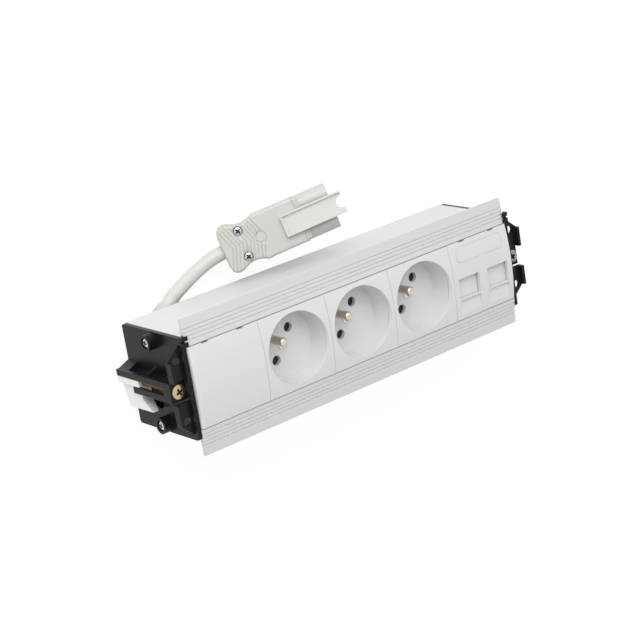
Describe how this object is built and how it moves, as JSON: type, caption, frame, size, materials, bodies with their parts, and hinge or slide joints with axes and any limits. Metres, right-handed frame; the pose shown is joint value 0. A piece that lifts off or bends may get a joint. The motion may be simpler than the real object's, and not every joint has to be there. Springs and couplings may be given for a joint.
{
  "type": "in-desk power module",
  "caption": "White desk-mounted power strip with earthed recessed sockets, a shuttered data plate, black clamp brackets and a short cord to a locking connector.",
  "frame": {"origin": "under the middle of the housing, on the surface that the rear cover rests on", "axes": "+X along the housing from the blank plate to the data plate, +Y across it to the side that the cord leaves from, +Z out of the socket faces"},
  "size_m": [0.2478, 0.1098, 0.07],
  "materials": {
    "white_aluminium": "fine white powder coat",
    "white_plastic": "satin moulded",
    "black_plastic": "glossy moulded",
    "white_nylon": "moulded nylon",
    "cream_plastic": "satin moulded",
    "cream_pvc": "smooth extruded",
    "zinc_steel": "yellow zinc plating",
    "bright_screw": "bright plating",
    "pin_brass": "turned and polished",
    "contact_brass": "pressed strip",
    "brown_insulation": "wire insulation",
    "green_insulation": "wire insulation",
    "blue_insulation": "wire insulation"
  },
  "bodies": {
    "housing": {"housing_profile": "white_aluminium", "rear_cover": "white_plastic", "rear_cover_screws": "zinc_steel", "strain_relief": "cream_plastic", "end_cap_left": "black_plastic", "end_cap_right": "black_plastic", "end_cap_screws_left": "bright_screw", "end_cap_screws_right": "bright_screw", "blank_module": "white_plastic", "data_plate": "white_plastic", "live_wire": "brown_insulation", "earth_wire": "green_insulation", "neutral_wire": "blue_insulation", "power_cord": "cream_pvc", "connector_shell_upper": "cream_plastic", "connector_shell_lower": "cream_plastic", "connector_insert": "cream_plastic", "connector_lock": "cream_plastic", "connector_screws": "zinc_steel", "connector_contacts": "contact_brass", "socket_front_1": "white_plastic", "socket_base_1": "white_plastic", "earth_pin_1": "pin_brass", "socket_screw_1": "bright_screw", "contacts_1": "contact_brass", "socket_front_2": "white_plastic", "socket_base_2": "white_plastic", "earth_pin_2": "pin_brass", "socket_screw_2": "bright_screw", "contacts_2": "contact_brass", "socket_front_3": "white_plastic", "socket_base_3": "white_plastic", "earth_pin_3": "pin_brass", "socket_screw_3": "bright_screw", "contacts_3": "contact_brass"},
    "clamp_screw_left": {"clamp_screw_left": "zinc_steel"},
    "clamp_screw_right": {"clamp_screw_right": "zinc_steel"},
    "clamp_claw_left": {"clamp_claw_left": "white_nylon"},
    "clamp_claw_right": {"clamp_claw_right": "white_nylon"},
    "data_shutter_left": {"data_shutter_left": "white_plastic"},
    "data_shutter_right": {"data_shutter_right": "white_plastic"},
    "socket_shutter_1": {"socket_shutter_1": "black_plastic"},
    "socket_shutter_2": {"socket_shutter_2": "black_plastic"},
    "socket_shutter_3": {"socket_shutter_3": "black_plastic"}
  },
  "joints": [
    {"name": "clamp_screw_left_turn", "type": "hinge", "parent": "housing", "child": "clamp_screw_left", "pos_m": [-0.1193, 0, 0.0624], "axis": [0, 0, -1], "range_deg": [0, 4400.5]},
    {"name": "clamp_claw_left_travel", "type": "slide", "parent": "housing", "child": "clamp_claw_left", "axis": [0, 0, 1], "range_m": [0, 0.022]},
    {"name": "clamp_screw_right_turn", "type": "hinge", "parent": "housing", "child": "clamp_screw_right", "pos_m": [0.1193, 0, 0.0624], "axis": [0, 0, -1], "range_deg": [0, 4400.5]},
    {"name": "clamp_claw_right_travel", "type": "slide", "parent": "housing", "child": "clamp_claw_right", "axis": [0, 0, 1], "range_m": [0, 0.022]},
    {"name": "data_shutter_left_slide", "type": "slide", "parent": "housing", "child": "data_shutter_left", "axis": [0, -1, 0], "range_m": [0, 0.009]},
    {"name": "data_shutter_right_slide", "type": "slide", "parent": "housing", "child": "data_shutter_right", "axis": [0, -1, 0], "range_m": [0, 0.009]},
    {"name": "socket_shutter_1_turn", "type": "hinge", "parent": "housing", "child": "socket_shutter_1", "pos_m": [-0.045, 0, 0.0524], "axis": [0, 0, 1], "range_deg": [-36, 0], "stiffness_Nm_per_rad": 0.002},
    {"name": "socket_shutter_2_turn", "type": "hinge", "parent": "housing", "child": "socket_shutter_2", "pos_m": [0, 0, 0.0524], "axis": [0, 0, 1], "range_deg": [-36, 0], "stiffness_Nm_per_rad": 0.002},
    {"name": "socket_shutter_3_turn", "type": "hinge", "parent": "housing", "child": "socket_shutter_3", "pos_m": [0.045, 0, 0.0524], "axis": [0, 0, 1], "range_deg": [-36, 0], "stiffness_Nm_per_rad": 0.002}
  ],
  "couplings": [
    {"joint": "clamp_screw_left_turn", "follows": "clamp_claw_left_travel", "rad_per_m": 3490.7},
    {"joint": "clamp_screw_right_turn", "follows": "clamp_claw_right_travel", "rad_per_m": 3490.7}
  ]
}
